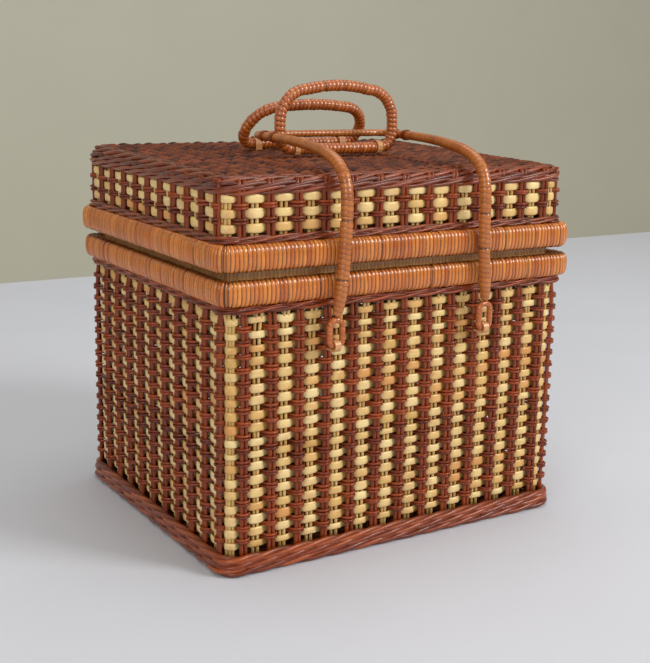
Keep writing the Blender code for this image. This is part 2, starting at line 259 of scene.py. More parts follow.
class Strands:
    """Swept strands gathered into one mesh."""

    def __init__(self):
        self.points, self.strands, self.shades = [], [], []
        self.quads, self.caps, self.strips = [], [], []
        self.count = 0

    def store(self, points, strand, shade):
        self.points.append(points)
        self.strands.append(strand)
        self.shades.append(shade)
        self.count += len(points)

    def add(self, path, out, side, section, tint, shade, closed=False):
        """Sweeps a section along a path; out and side are the section's two directions."""
        count, first = len(path), self.count
        out, side = (np.broadcast_to(axis, (count, 3)) for axis in (out, side))
        out_by, side_by = (np.broadcast_to(part, (count, part.shape[-1])) for part in section)
        around = out_by.shape[1]
        points = (path[:, None] + out_by[..., None] * out[:, None]
                  + side_by[..., None] * side[:, None])
        ahead = path[:1] if closed else 2 * path[-1:] - path[-2:-1]
        heading = np.vstack([path[1:], ahead]) - path
        along = np.concatenate([[0.0], np.cumsum(np.linalg.norm(heading, axis=1))])
        flip = np.mean(np.sum(np.cross(out, side) * heading, 1)) < 0

        strand = np.zeros((count, around, 3))
        strand[..., 0] = along[:count, None]
        strand[..., 1] = np.arange(around) / around
        strand[..., 2] = np.reshape(tint, (-1, 1))
        if np.ndim(shade) < 2:
            shade = np.reshape(shade, (-1, 1))
        shade = np.broadcast_to(shade, (count, around))
        self.store(points.reshape(-1, 3), strand.reshape(-1, 3), shade.reshape(-1))

        rows = count if closed else count - 1
        girth = float(np.linalg.norm(np.roll(points[0], -1, 0) - points[0], axis=1).sum())
        ring, spot = np.arange(rows)[:, None], np.arange(around)[None, :]
        this_ring, next_ring = ring * around, (ring + 1) % count * around
        next_spot = (spot + 1) % around
        start, end = along[:rows, None], along[1:rows + 1, None]
        low, high = spot / around * girth, (spot + 1) / around * girth

        def per_face(*corners):
            spread = [np.broadcast_to(corner, (rows, around)) for corner in corners]
            return np.stack(spread, -1).reshape(-1, 4)

        faces = [per_face(this_ring + spot, this_ring + next_spot,
                          next_ring + next_spot, next_ring + spot) + first,
                 per_face(start, start, end, end), per_face(low, high, high, low)]
        if flip:
            faces = [part[:, ::-1] for part in faces]
        quads, lengthwise, crosswise = faces
        self.quads.append(quads)
        self.strips.append((lengthwise, crosswise, float(along[rows]), girth))
        if not closed:
            for row, backwards in ((0, flip), (count - 1, not flip)):
                edge = first + row * around + np.arange(around)
                cap = np.stack([np.full(around, self.count), np.roll(edge, -1), edge], -1)
                self.caps.append(cap[:, ::-1] if backwards else cap)
                self.store(points[row].mean(0)[None], strand[row, :1], shade[row, :1])

    def build(self, name, body, material, nodes=(), slot=None):
        points = np.concatenate(self.points) * MM
        quads = np.concatenate(self.quads)
        caps = np.concatenate(self.caps) if self.caps else np.zeros((0, 3), int)
        mesh = bpy.data.meshes.new(name)
        mesh.vertices.add(len(points))
        mesh.vertices.foreach_set("co", points.astype(np.float32).ravel())
        corners = np.concatenate([quads.ravel(), caps.ravel()]).astype(np.int32)
        mesh.loops.add(len(corners))
        mesh.loops.foreach_set("vertex_index", corners)
        mesh.polygons.add(len(quads) + len(caps))
        starts = np.concatenate([np.arange(len(quads)) * 4,
                                 len(quads) * 4 + np.arange(len(caps)) * 3])
        mesh.polygons.foreach_set("loop_start", starts.astype(np.int32))
        mesh.update(calc_edges=True)
        mesh.validate()
        strand_attributes(mesh, np.concatenate(self.strands), np.concatenate(self.shades))
        uvs = np.concatenate([self.pack(), np.zeros((len(caps) * 3, 2))])
        layer = mesh.uv_layers.new(name="OFBake")
        layer.data.foreach_set("uv", uvs.astype(np.float32).ravel())
        mesh.shade_smooth()
        mesh.materials.append(material)
        piece = bpy.data.objects.new(name, mesh)
        bpy.context.scene.collection.objects.link(piece)
        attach(piece, body)
        if nodes:
            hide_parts(*nodes)

    def pack(self):
        """UVs of the quads: strands laid out in rows, cut to a common length."""
        end_gap, row_gap = 1.0, 0.25
        area = sum(length * girth for _, _, length, girth in self.strips)
        width = max(math.sqrt(area) * 1.02, 20.0)
        cuts = [max(1, math.ceil(length / width - 1e-6)) for _, _, length, _ in self.strips]
        parts = [(girth, min(width, length - cut * width), strip, cut)
                 for strip, (_, _, length, girth) in enumerate(self.strips)
                 for cut in range(cuts[strip])]
        parts.sort(key=lambda part: (-part[0], part[2], part[3]))
        places, x, y, row_height = {}, 0.0, 0.0, 0.0
        for girth, length, strip, cut in parts:
            if x + length > width * 1.001 and x > 0:
                y, x, row_height = y + row_height, 0.0, 0.0
            places[strip, cut] = (x, y)
            x += length + end_gap
            row_height = max(row_height, girth + row_gap)
        sheet_height = y + row_height
        sheet_width = width + (width * 0.02 + 4.0) + 20 * end_gap
        uvs = []
        for strip, (lengthwise, crosswise, _, _) in enumerate(self.strips):
            cut = (lengthwise.min(1) / width + 1e-9).astype(int)
            cut = np.minimum(cut, cuts[strip] - 1)
            corner = np.array([places[strip, i] for i in range(cut.max() + 1)])[cut]
            across = (lengthwise - cut[:, None] * width + corner[:, :1]) / sheet_width
            up = (crosswise + corner[:, 1:]) / sheet_height
            uvs.append(np.clip(np.stack([across, up], -1), 0, 1).reshape(-1, 2))
        return np.concatenate(uvs)


def wander(count, knots, size, closed=False):
    """Smooth random wobble of count values with about this many knots."""
    knots = max(int(knots), 2)
    levels = RNG.normal(0, size, knots)
    levels = np.append(levels, levels[0] if closed else RNG.normal(0, size))
    place = np.linspace(0, knots, count, endpoint=not closed)
    knot = np.minimum(place.astype(int), knots - 1)
    share = smoothstep(place - knot)
    return levels[knot] * (1 - share) + levels[knot + 1] * share


def varied_tint(count, knots, size):
    """A strand's random tint, wandering round its loop."""
    return np.clip(RNG.random() + wander(count, knots, size, True), 0, 1)


class Loop:
    """Round-cornered rectangle, measured from the middle of its front left corner
    and first along the front, towards +X."""

    def __init__(self, middle_x, half_x, half_y, radius):
        self.middle_x, self.half_x, self.half_y, self.radius = middle_x, half_x, half_y, radius
        self.corner = math.pi * radius / 2
        self.wide, self.deep = 2 * (half_x - radius), 2 * (half_y - radius)
        self.length = 2 * self.wide + 2 * self.deep + 4 * self.corner

    def front(self, x):
        return self.corner / 2 + (x - self.middle_x) + self.half_x - self.radius

    def left(self, y):
        before = self.corner * 3.5 + 2 * self.wide + self.deep
        return before + (self.half_y - self.radius - y)

    def lay(self, along, off, z, slope=0.0):
        """Points at lengths along the loop, moved outwards by off, and their outward normals.

        slope raises the points by that much for each mm towards +Y."""
        along = np.asarray(along, float) % self.length
        x, y, normal_x, normal_y = (np.zeros_like(along) for _ in range(4))
        reach_x, reach_y = self.half_x - self.radius, self.half_y - self.radius
        front_left, front_right, back_right, back_left = (
            (self.middle_x + sx * reach_x, sy * reach_y)
            for sx, sy in ((-1, -1), (1, -1), (1, 1), (-1, 1)))
        # length, centre at the start and end, normal's angle at the start, and its turn
        stretches = [
            (self.corner / 2, front_left, front_left, 225.0, 45.0),
            (self.wide, front_left, front_right, 270.0, 0.0),
            (self.corner, front_right, front_right, 270.0, 90.0),
            (self.deep, front_right, back_right, 0.0, 0.0),
            (self.corner, back_right, back_right, 0.0, 90.0),
            (self.wide, back_right, back_left, 90.0, 0.0),
            (self.corner, back_left, back_left, 90.0, 90.0),
            (self.deep, back_left, front_left, 180.0, 0.0),
            (self.corner / 2, front_left, front_left, 180.0, 45.0)]
        begin = 0.0
        for length, (x0, y0), (x1, y1), angle, turn in stretches:
            here = (along >= begin) & (along <= begin + length + 1e-9)
            done = along[here] - begin
            facing = np.radians(angle + turn * done / length)
            normal_x[here], normal_y[here] = np.cos(facing), np.sin(facing)
            x[here] = x0 + (x1 - x0) * done / length + self.radius * normal_x[here]
            y[here] = y0 + (y1 - y0) * done / length + self.radius * normal_y[here]
            begin += length
        x, y = x + normal_x * off, y + normal_y * off
        return np.stack([x, y, z + slope * y], 1), np.stack([normal_x, normal_y, 0 * x], 1)


def box_loop(middle_x, node, inset, radius):
    low, high = node_box(node)
    half_x, half_y = (high - low)[:2] / 2
    return Loop(middle_x, half_x - inset, half_y - inset, radius)


# ------------------------------------------------------------------ woven walls
STAKES = 96  # even ones cream, odd ones dark, number 0 on the front left corner
OUTER_RADIUS = 14.0
WALL_NODES = ["wall_front", "wall_back", "wall_left", "wall_right",
              "corner_post_front_left", "corner_post_front_right",
              "corner_post_back_left", "corner_post_back_right"]


def wall_loop(prefix, middle_x, inset):
    """Middle line of a wall, inset from its outer face."""
    left = node_box(prefix + "wall_left")[0][0]
    front = node_box(prefix + "wall_front")[0][1]
    return Loop(middle_x, middle_x - left - inset, -front - inset, OUTER_RADIUS - inset)


def stake_places(loop, shift=0.0):
    """Lengths along the loop of the stakes, evenly spread between pinned ones."""
    pins = [(0, 0.0), (1, loop.front(-148.0 + shift)), (25, loop.front(146.0 + shift)),
            (27, loop.corner + loop.wide), (28, loop.corner * 1.5 + loop.wide + 1.0),
            (75, loop.left(129.0)), (95, loop.left(-123.5)), (STAKES, loop.length)]
    return np.interp(np.arange(STAKES + 1), *zip(*pins))


def weaver_line(places):
    """Sample places as stake numbers and lengths, then two waves that run from 1 at the
    cream stakes to 0 at the dark ones: a square-shouldered one and a plain one."""
    per_stake = 10
    stake = np.arange(STAKES * per_stake) / per_stake
    along = np.interp(stake, np.arange(STAKES + 1), places)
    cosine = np.cos(np.pi * stake)
    return stake, along, 0.5 + 0.5 * signed_power(cosine, 0.5), np.clip(0.5 + 0.5 * cosine, 0, 1)


def cream_weavers(loop, places, rows, front, behind):
    """Flat bands that bulge in front of the cream stakes and go behind the dark ones."""
    stake, along, wave, over = weaver_line(places)
    count, bulges = len(stake), STAKES // 2
    bulge = np.round(stake / 2).astype(int) % bulges
    edge_half = 3.2  # half height of a band where it narrows
    out_by, up_by = oval(1.0, 1.0, 12, 2.6)
    bands = Strands()
    for z in rows:
        size = RNG.choice([1.0, 0.96, 0.9, 0.82, 0.74], p=[0.34, 0.26, 0.18, 0.14, 0.08])
        each = np.clip(RNG.normal(1.0, 0.08, bulges), 0.78, 1.1)[bulge]
        lift = RNG.normal(0, 0.42, bulges)[bulge] * over
        half = edge_half + (3.7 * size * each - edge_half) * over ** 0.55
        off = behind + (front - behind) * wave + wander(count, 60, 0.12, True)
        path, out = loop.lay(along, off, z + lift + wander(count, 40, 0.22, True))
        section = np.outer(0.95 + 0.25 * over, out_by), np.outer(half, up_by)
        tint = np.clip(RNG.random() * 0.55 + RNG.normal(0.22, 0.16, bulges)[bulge], 0, 1)
        # painted shade: the band darkens where it goes back behind the dark stakes
        shade = 0.34 + 0.66 * np.clip(over * 1.9, 0, 1)
        bands.add(path, out, UP, section, tint, shade, closed=True)
    return bands


def dark_weavers(loop, places, rows, front, behind):
    """Pairs of thin strands that pass in front of the dark stakes."""
    stake, along, wave, over = weaver_line(places)
    count = len(stake)
    pairs = Strands()
    for z in rows:
        half_gap = 1.17 + RNG.normal(0, 0.05)
        for side in (-1, 1):
            off = front + (behind - front) * wave + wander(count, 50, 0.15, True)
            height = z + side * half_gap + wander(count, 60, 0.30, True)
            path, out = loop.lay(along, off, height)
            tint = varied_tint(count, 14, 0.15)
            # painted shade: the strands darken where they pass back behind the cream stakes
            shade = 0.40 + 0.60 * np.clip((1 - over) * 1.6, 0, 1)
            pairs.add(path, out, UP, oval(1.15, 1.15, 8), tint, shade, closed=True)
    return pairs


def wall_stakes(loop, places, foot, tops, offs, gather=None):
    """Upright stakes, cream and dark; tops and offs hold the cream value, then the dark.

    gather: the offset the stakes are drawn to, and the heights between which they get there."""
    cream_and_dark = Strands(), Strands()
    for k in range(STAKES):
        kind = k % 2
        spread, radius = ((1.95, 1.40), (1.85, 1.65))[kind]
        if k == 0:
            spread = 3.1
        top = tops[kind]
        for side in (-1, 1) if k else (-1, 0, 1):
            count = 26 if top - foot > 60 else 9
            z = np.linspace(foot, top, count)
            drift = wander(count, 4, 0.38)
            off = offs[kind]
            if gather:
                target, low, high = gather
                off = off + (target - off) * smoothstep(np.clip((z - low) / (high - low), 0, 1))
            path, out = loop.lay(places[k] + side * spread + drift,
                                 off + wander(count, 6, 0.10), z)
            cream_and_dark[kind].add(path, out, np.cross(UP, out), oval(radius, radius, 9),
                                     RNG.random(), 1.0)
    return cream_and_dark


def woven_wall(body, tag, prefix, loop, places, rows, cream, dark, **stakes):
    """Wall of cream rows with dark pairs halfway between them.

    cream and dark: offsets of those weavers in front of their stakes and behind the others."""
    between = [(low + high) / 2 for low, high in zip(rows, rows[1:])]
    cream_weavers(loop, places, rows, *cream).build(
        tag + "_cream_weavers", body, CREAM, [prefix + n for n in WALL_NODES],
        prefix + "wall_front")
    dark_weavers(loop, places, between, *dark).build(tag + "_dark_weavers", body, DARK)
    cream_stakes, dark_stakes = wall_stakes(loop, places, **stakes)
    cream_stakes.build(tag + "_cream_stakes", body, CREAM_STAKE)
    dark_stakes.build(tag + "_dark_stakes", body, DARK_STAKE)


# ------------------------------------------------------- ropes, wraps and panels
def add_rope(holder, loop, strands, z, off, period, swing_out, swing_up, radius,
             phase=0.0, slope=0.0, lean=0.0):
    """Strands twisted round a line that follows the loop."""
    count = int(loop.length / 2.0)
    along = np.arange(count) * loop.length / count
    turns = round(loop.length / period)
    for k in range(strands):
        angle = 2 * math.pi * turns * along / loop.length + 2 * math.pi * k / strands + phase
        strand_off = off + (swing_out + wander(count, turns, 0.22, True)) * np.cos(angle)
        height = (z + swing_up * np.sin(angle) + wander(count, turns, 0.18, True)
                  + lean * np.cos(angle))
        path, out = loop.lay(along, strand_off, height, slope)
        heading = np.roll(path, -1, 0) - np.roll(path, 1, 0)
        heading /= np.linalg.norm(heading, axis=1)[:, None]
        side = np.cross(heading, out)
        side /= np.linalg.norm(side, axis=1)[:, None]
        tint = varied_tint(count, turns // 3, 0.18)
        # painted shade: each strand darkens where it twists inwards behind the others
        shade = 0.50 + 0.50 * np.clip(0.65 + 0.9 * np.cos(angle), 0, 1)
        holder.add(path, np.cross(side, heading), side, oval(radius, radius, 10),
                   tint, shade, closed=True)


def ropes(body, name, node, material, loop, strands, rows):
    """Rows of rope: z, offset, twist length, swing out, swing up, strand radius,
    then phase, slope and lean where they aren't 0."""
    holder = Strands()
    for row in rows:
        add_rope(holder, loop, strands, *row)
    holder.build(name, body, material, [node], node)


def wrap_profile(turn, depth, uneven, count, groove_shade):
    """Height and painted shade over turns of cane, the shade darkest in the grooves between
    turns, and each point's turn number.
    """
    number = np.floor(turn).astype(int) % count
    edge = np.abs(turn - np.floor(turn) - 0.5) * 2
    height = depth * (1 - edge ** 3.2) + uneven[number]
    # painted shade, darkest in the grooves between turns
    shade = 1.0 - groove_shade * np.clip((edge - 0.55) / 0.45, 0, 1) ** 1.6
    return height, shade, number


def seam_marks(height, shade, distance, width, depth):
    """Sinks and darkens the wrap near a seam."""
    mark = np.exp(-(distance / width) ** 2)[:, None]
    return height - depth * mark, shade * (1 - 0.85 * mark)


def wrapped_rim(body, name, node, material, loop, z, half_height, half_thick, pitch, depth,
                per_turn=9, sides=26, seams=(), groove_shade=0.94, power=2.7, gap_shade_edge=0):
    """Flat band round the loop, bound with upright turns of cane.

    seams: place along the loop and width. gap_shade_edge: 1 paints shade on the top edge, -1 on
    the bottom edge, where the rim faces the narrow gap between body and lid."""
    count = round(loop.length / pitch)
    turn = np.arange(count * per_turn) / per_turn
    along = turn * loop.length / count
    uneven = RNG.normal(0, depth * 0.16, count)
    slant = RNG.normal(0, 0.11, count)
    tint = np.clip(RNG.normal(0.5, 0.26, count), 0, 1)
    out_by, up_by = oval(1.0, 1.0, sides, power)
    # each turn leans a little, so the grooves aren't dead straight
    lean = np.interp(turn, np.arange(count) + 0.5, slant, period=count)
    leaning = turn[:, None] + lean[:, None] * up_by * 1.1
    height, shade, number = wrap_profile(leaning, depth, uneven, count, groove_shade)
    for place, width in seams:
        half = loop.length / 2
        distance = np.abs((along - place + half) % loop.length - half)
        height, shade = seam_marks(height, shade, distance, width, depth=1.0)
    # painted shade where the rim faces the narrow gap between body and lid
    if gap_shade_edge:
        shade = shade * (1 - 0.8 * np.clip((gap_shade_edge * up_by - 0.80) / 0.2, 0, 1))
    path, out = loop.lay(along, -half_thick, z)
    section = (half_thick - depth + height) * out_by, (half_height - depth + height) * up_by
    holder = Strands()
    holder.add(path, out, UP, section, tint[number[:, 0]], shade, closed=True)
    holder.build(name, body, material, [node], node)


def steady_axes(path, closed):
    """Two cross directions that turn as little as possible; the first starts towards -Y."""
    if closed:
        heading = np.roll(path, -1, 0) - np.roll(path, 1, 0)
    else:
        heading = np.gradient(path, axis=0)
    heading /= np.linalg.norm(heading, axis=1)[:, None]
    out = np.zeros_like(path)
    axis = np.array([0, -1.0, 0])
    for i, ahead in enumerate(heading):
        axis = axis - ahead * np.dot(axis, ahead)
        axis /= np.linalg.norm(axis)
        out[i] = axis
    return out, np.cross(heading, out)


def lengths_along(path):
    steps = np.linalg.norm(np.diff(path, axis=0), axis=1)
    return np.concatenate([[0], np.cumsum(steps)])


def resample(path, radii, step, closed):
    """Even points on a smooth curve through the path, and their radii."""
    if closed:
        path, radii = np.vstack([path, path[:1]]), np.append(radii, radii[0])
    known = lengths_along(path)
    if closed:
        gaps = np.diff(known)
        tangent = np.roll(path[:-1], -1, 0) - np.roll(path[:-1], 1, 0)
        tangent = tangent / (gaps + np.roll(gaps, 1))[:, None]
        tangent = np.vstack([tangent, tangent[:1]])
    else:
        tangent = np.gradient(path, known, axis=0)
    count = max(int(known[-1] / step), 8)
    along = np.linspace(0, known[-1], count, endpoint=not closed)
    k = np.clip(np.searchsorted(known, along, "right") - 1, 0, len(path) - 2)
    gap = (known[k + 1] - known[k])[:, None]
    t = (along - known[k])[:, None] / gap
    # cubic Hermite curve
    smooth = ((2 * t ** 3 - 3 * t ** 2 + 1) * path[k]
              + (t ** 3 - 2 * t ** 2 + t) * gap * tangent[k]
              + (-2 * t ** 3 + 3 * t ** 2) * path[k + 1]
              + (t ** 3 - t ** 2) * gap * tangent[k + 1])
    return smooth, np.interp(along, known, radii)


def wrapped_bar(body, name, node, material, path, radius, pitch, depth, per_turn, sides,
                groove_shade, closed=True, seams=(), fade=None, end_round=0.0):
    """Round bar wrapped in a spiral strip of cane.

    seams: share of the length and width. fade: strength of the ribs by share of length.
    end_round: length over which the two ends round off."""
    path = np.asarray(path, float)
    radii = np.broadcast_to(np.asarray(radius, float), len(path))
    path, radii = resample(path, radii, pitch / per_turn, closed)
    along = lengths_along(path)
    length = along[-1] + (np.linalg.norm(path[0] - path[-1]) if closed else 0)
    count = max(round(length / pitch), 1)
    out, side = steady_axes(path, closed)
    around = np.arange(sides) / sides
    turn = (along / length * count)[:, None] + around
    uneven = RNG.normal(0, depth * 0.18, count + 2)
    tint = np.clip(RNG.normal(0.5, 0.24, count + 2), 0, 1)
    height, shade, number = wrap_profile(turn, depth, uneven, count if closed else count + 2,
                                         groove_shade)
    if fade:
        strength = fade(along / length)[:, None]
        height = depth + (height - depth) * strength
        shade = 1 - (1 - shade) * strength
    for share, width in seams:
        distance = np.abs(along - share * length)
        height, shade = seam_marks(height, shade, distance, width, depth=0.55)
    radii = radii[:, None] - depth + height
    if end_round:
        inwards = np.clip(np.minimum(along, length - along) / end_round, 0, 1)
        radii = radii * np.sqrt(np.clip(1 - (1 - inwards) ** 2, 0.02, 1))[:, None]
    section = radii * np.cos(2 * np.pi * around), radii * np.sin(2 * np.pi * around)
    holder = Strands()
    holder.add(path, out, side, section, tint[number[:, 0]], shade, closed)
    holder.build(name, body, material, [node], node)


def woven_panel(body, node, inset, z, slope, stake_pitch, row_pitch, row_radius, wave_height,
                sides):
    """Plain weave: paired stakes from front to back, weavers across."""
    low, high = node_box(node)
    (x0, y0), (x1, y1) = low[:2] + inset, high[:2] - inset
    stakes_across = int(round((x1 - x0) / stake_pitch))
    pitch_x = (x1 - x0) / stakes_across
    rows = int(round((y1 - y0) / row_pitch))
    pitch_y = (y1 - y0) / rows
    count = stakes_across * 8 + 1
    x = np.linspace(x0, x1, count)
    section = oval(row_radius * 0.92, row_radius * 1.06, sides)
    weavers, stakes = Strands(), Strands()
    for j in range(rows):
        y = y0 + (j + 0.5) * pitch_y
        cosine = np.cos(math.pi * ((x - x0) / pitch_x - 0.5)) * (1 if j % 2 else -1)
        wave = signed_power(cosine, 0.7)
        heights = z + slope * y + wave_height * wave + wander(count, stakes_across, 0.12)
        path = np.stack([x, y + wander(count, stakes_across // 2, 0.22), heights], 1)
        tint = np.clip(RNG.random() + wander(count, stakes_across // 3, 0.2), 0, 1)
        # painted shade where a weaver dips under the stakes
        shade = 0.45 + 0.55 * np.clip(0.5 + 0.9 * wave, 0, 1)
        weavers.add(path, UP, (0, 1.0, 0), section, tint, shade)
    stake_radius, stake_points = 1.3, 24
    y = np.linspace(y0, y1, stake_points)
    for i in range(stakes_across):
        middle = x0 + (i + 0.5) * pitch_x
        for side in (-1, 1):
            stake_x = middle + side * stake_radius * 1.05 + wander(stake_points, 5, 0.15)
            # painted shade: the stakes, lying under the weavers, get a fixed share of the shade
            # colour
            stakes.add(np.stack([stake_x, y, z + slope * y], 1), UP, (1.0, 0, 0),
                       oval(stake_radius, stake_radius, 6), RNG.random(), 0.7)
    weavers.build(node + "_weavers", body, TOP, [node], node)
    stakes.build(node + "_stakes", body, DARK_STAKE)


# =============================================================== basket body
rim_lo, rim_hi = node_box("body_rim")
BODY_X = (rim_lo[0] + rim_hi[0]) / 2
front_lo, front_hi = node_box("wall_front")
wall_foot, wall_top = front_lo[2], front_hi[2]
BODY_ROWS = 18
row_step = (wall_top - wall_foot - 1.0) / BODY_ROWS
body_loop = wall_loop("", BODY_X, inset=5.6)
woven_wall("basket_body", "body", "", body_loop, stake_places(body_loop),
           rows=[wall_foot + 0.8 + row_step * (k + 0.42) + RNG.normal(0, 0.25)
                 for k in range(BODY_ROWS)],
           cream=(1.2, -1.3), dark=(5.6, -3.9), foot=wall_foot - 6,
           tops=(wall_top + 6, wall_top + 6), offs=(-1.2, 2.9),
           gather=(1.6, wall_top - 13.0, wall_top - 4.0))

ropes("basket_body", "foot_braid_strands", "foot_braid", ROPE,
      box_loop(BODY_X, "foot_braid", 4.0, 13.0), strands=3, rows=[
          (13.5, 0.4, 70.0, 1.8, 1.9, 2.05, 0.0),
          (9.0, 0.9, 70.0, 1.8, 1.9, 2.05, 1.4),
          (4.3, 1.1, 70.0, 1.8, 1.9, 2.05, 2.7)])
ropes("basket_body", "body_waling_strands", "body_waling", DARK,
      box_loop(BODY_X, "body_waling", 2.6, 11.0), strands=2, rows=[
          (210.7, 0.0, 54.0, 1.1, 1.2, 1.35),
          (213.4, -0.6, 54.0, 1.0, 0.9, 1.30, 1.6)])

RIM_WRAP = dict(half_thick=6.0, pitch=3.6, depth=0.88)
rim_loop = box_loop(BODY_X, "body_rim", 0.0, OUTER_RADIUS)
wrapped_rim("basket_body", "body_rim_wrap", "body_rim", RIM, rim_loop, z=225.0,
            half_height=10.0, **RIM_WRAP, gap_shade_edge=1, seams=[
                (0.5, 0.7), (2.6, 0.5), (rim_loop.left(-78.0), 0.9),
                (rim_loop.left(-60.0), 0.6), (rim_loop.left(88.0), 0.8),
                (rim_loop.front(-86.0), 0.6), (rim_loop.front(20.0), 0.7),
                (rim_loop.front(121.0), 0.5)])
wrapped_rim("basket_body", "inner_collar_wrap", "inner_collar", COLLAR,
            box_loop(BODY_X, "inner_collar", 0.0, 10.0), z=226.0, half_height=20.0,
            half_thick=1.5, pitch=3.4, depth=0.40, per_turn=7, sides=18, groove_shade=0.55, power=4.0)

woven_panel("basket_body", "base_panel", inset=1, z=6.75, slope=0.0, stake_pitch=16.0,
            row_pitch=4.2, row_radius=1.75, wave_height=1.4, sides=6)

# ======================================================================= lid
LID_SLOPE = 0.0222  # rise of the lid's top towards the back
rim_lo, rim_hi = node_box("lid_rim")
LID_X = (rim_lo[0] + rim_hi[0]) / 2
lid_loop = wall_loop("lid_", LID_X, inset=4.4)
woven_wall("lid", "lid", "lid_", lid_loop, stake_places(lid_loop, LID_X - BODY_X),
           rows=[272.6, 283.6, 294.6], cream=(1.9, -0.6), dark=(4.6, -3.0),
           foot=260.0, tops=(299.5, 309.0), offs=(-0.5, 2.0))

rim_loop = box_loop(LID_X, "lid_rim", 0.0, OUTER_RADIUS)
wrapped_rim("lid", "lid_rim_wrap", "lid_rim", RIM, rim_loop, z=251.0,
            half_height=10.5, **RIM_WRAP, gap_shade_edge=-1, seams=[
                (1.5, 0.9), (rim_loop.left(-100.0), 0.8), (rim_loop.left(20.0), 0.5),
                (rim_loop.front(-30.0), 0.5), (rim_loop.front(96.0), 0.7)])
ropes("lid", "lid_waling_strands", "lid_waling", BORDER,
      box_loop(LID_X, "lid_waling", 2.4, 11.0), strands=2, rows=[
          (262.8, 0.0, 52.0, 1.1, 1.1, 1.35),
          (265.4, -0.4, 52.0, 1.0, 0.9, 1.30, 1.2)])
ropes("lid", "lid_border_strands", "lid_top_border", BORDER,
      box_loop(LID_X, "lid_top_border", 3.4, 12.0), strands=3, rows=[
          (301.6, 0.3, 78.0, 1.6, 2.1, 1.7, 0.0, LID_SLOPE * 0.4),
          (305.9, -0.3, 78.0, 1.6, 2.1, 1.7, 1.3, LID_SLOPE * 0.8),
          (309.9, -3.4, 72.0, 2.1, 1.8, 1.8, 2.4, LID_SLOPE, -0.8),
          (311.3, -8.6, 66.0, 2.4, 0.9, 1.60, 0.4, LID_SLOPE, -0.4)])

woven_panel("lid", "lid_top_panel", inset=-2.5, z=311.5, slope=LID_SLOPE, stake_pitch=12.2,
            row_pitch=4.3, row_radius=1.95, wave_height=2.1, sides=8)

# ====================================================================== bail
HANDLE_X = -1.5  # middle of the bail and grips
EYE_Y = -148.0
# half of the bail, from its foot to its crossbar: distance from the middle, y, z, radius
BAIL_HALF = [
    (73.2, EYE_Y, 202.4, 3.4), (72.2, -149.0, 209.0, 4.4), (71.2, -149.8, 217.0, 5.0),
    (69.6, -150.0, 232.0, 5.0), (68.4, -150.0, 247.0, 5.0), (67.6, -150.0, 265.0, 5.0),
    (67.1, -150.0, 285.0, 5.0), (67.0, -149.3, 296.0, 5.0), (67.0, -147.0, 305.0, 4.9),
    (67.0, -142.0, 313.0, 4.8), (67.0, -134.0, 319.3, 4.7), (67.0, -122.0, 324.0, 4.6),
    (67.0, -100.0, 328.0, 4.4), (67.0, -78.0, 330.3, 4.1), (67.0, -54.0, 331.5, 3.9),
    (67.0, -28.0, 332.0, 3.6), (67.0, -12.0, 332.0, 3.4), (65.0, -4.5, 332.0, 3.2),
    (60.0, -0.8, 332.0, 3.1), (52.0, 0.0, 332.0, 3.1)]


def bail_fade(share):
    """Ribs show on the uprights and the crossbar, and are faint between them."""
    from_end = np.minimum(share, 1 - share)
    return np.interp(from_end, [0.0, 0.17, 0.22, 0.38, 0.43, 0.5],
                     [0.85, 0.9, 0.35, 0.35, 1.0, 1.0])


bail = np.array([(HANDLE_X - half, y, z, radius) for half, y, z, radius in BAIL_HALF]
                + [(HANDLE_X + half, y, z, radius) for half, y, z, radius in BAIL_HALF[::-1]])
wrapped_bar("bail", "bail_wrap", "bail_frame", BAIL_CANE, bail[:, :3], bail[:, 3],
            pitch=4.1, depth=0.34, per_turn=9, sides=18, groove_shade=0.72, closed=False,
            seams=((0.045, 0.9), (0.117, 0.8), (0.93, 0.9), (0.885, 0.8)),
            fade=bail_fade, end_round=2.0)


def ring_outline(half_width, low, high, low_radius, high_radius, steps=8, crown=0.0):
    """Closed round-cornered outline, across and up; crown arches its top edge."""
    points = []
    for side, centre, radius, angle in ((1, low + low_radius, low_radius, -90),
                                        (1, high - high_radius, high_radius, 0),
                                        (-1, high - high_radius, high_radius, 90),
                                        (-1, low + low_radius, low_radius, 180)):
        reach = half_width - radius
        for k in range(steps + 1):
            turned = math.radians(angle + 90.0 * k / steps)
            points.append((side * reach + radius * math.cos(turned),
                           centre + radius * math.sin(turned)))
        if crown and angle == 0:
            for k in range(1, 8):
                x = reach * (1.0 - k / 4.0)
                points.append((x, high + crown * (1.0 - (x / reach) ** 2)))
    return points


def share_at(path, place):
    """Share of a closed path's length at which it passes nearest a point."""
    path = np.vstack([path, path[:1]])
    known = lengths_along(path)
    along = np.linspace(0, known[-1], 600)
    points = np.stack([np.interp(along, known, path[:, k]) for k in range(3)], 1)
    nearest = np.argmin(np.linalg.norm(points - place, axis=1))
    return float(along[nearest] / known[-1])


for tag, side in (("left", -1), ("right", 1)):
    outline = ring_outline(5.7, low=0.0, high=20.4, low_radius=4.4, high_radius=5.0, steps=6)
    path = [(HANDLE_X + side * 73.4 + across, EYE_Y, 179.0 + up) for across, up in outline]
    wrapped_bar("bail", "bail_eye_wrap_" + tag, "bail_eye_" + tag, GRIP, path, radius=2.5,
                pitch=3.4, depth=0.24, per_turn=6, sides=12, groove_shade=0.5)

# ============================================================== grip rings
GRIP_WRAP = dict(radius=4.9, pitch=4.0, depth=0.72, per_turn=10, sides=18, groove_shade=0.85)

# the front grip stands upright
FRONT_GRIP_Y = -28.0
outline = ring_outline(57.0, low=321.2, high=371.0, low_radius=12.0, high_radius=26.0, crown=3.4)
path = [(HANDLE_X + across, FRONT_GRIP_Y, up) for across, up in outline]
splice = share_at(path, (HANDLE_X - 15.0, FRONT_GRIP_Y, 374.0))
wrapped_bar("front_grip", "front_grip_wrap", "front_grip_ring", GRIP, path, **GRIP_WRAP,
            seams=((splice, 0.9),))

